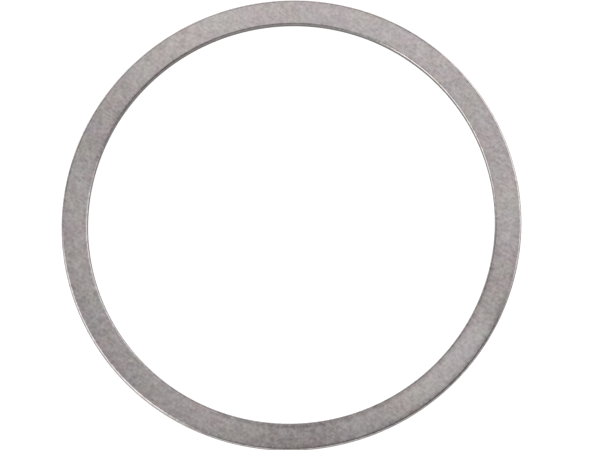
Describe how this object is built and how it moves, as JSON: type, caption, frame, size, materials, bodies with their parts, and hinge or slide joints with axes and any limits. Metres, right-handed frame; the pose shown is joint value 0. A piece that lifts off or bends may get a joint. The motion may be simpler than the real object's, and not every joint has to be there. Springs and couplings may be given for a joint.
{
  "type": "shim ring",
  "caption": "Flat round steel shim ring with a large central hole and rounded edges, used to space a bearing in its housing.",
  "frame": {"origin": "on the ring's axis, in the plane of the face that it lies on", "axes": "+Z along the ring's axis, out of the upper face; X and Y in the plane of the face it lies on, with no preferred direction because the ring is round"},
  "size_m": [0.0848, 0.0848, 0.0015],
  "materials": {
    "tumbled_steel": "bare cold-rolled steel, satin grey, finely mottled by tumbling, brighter on its rounded edges"
  },
  "bodies": {
    "root": {"shim_ring": "tumbled_steel"}
  },
  "joints": []
}
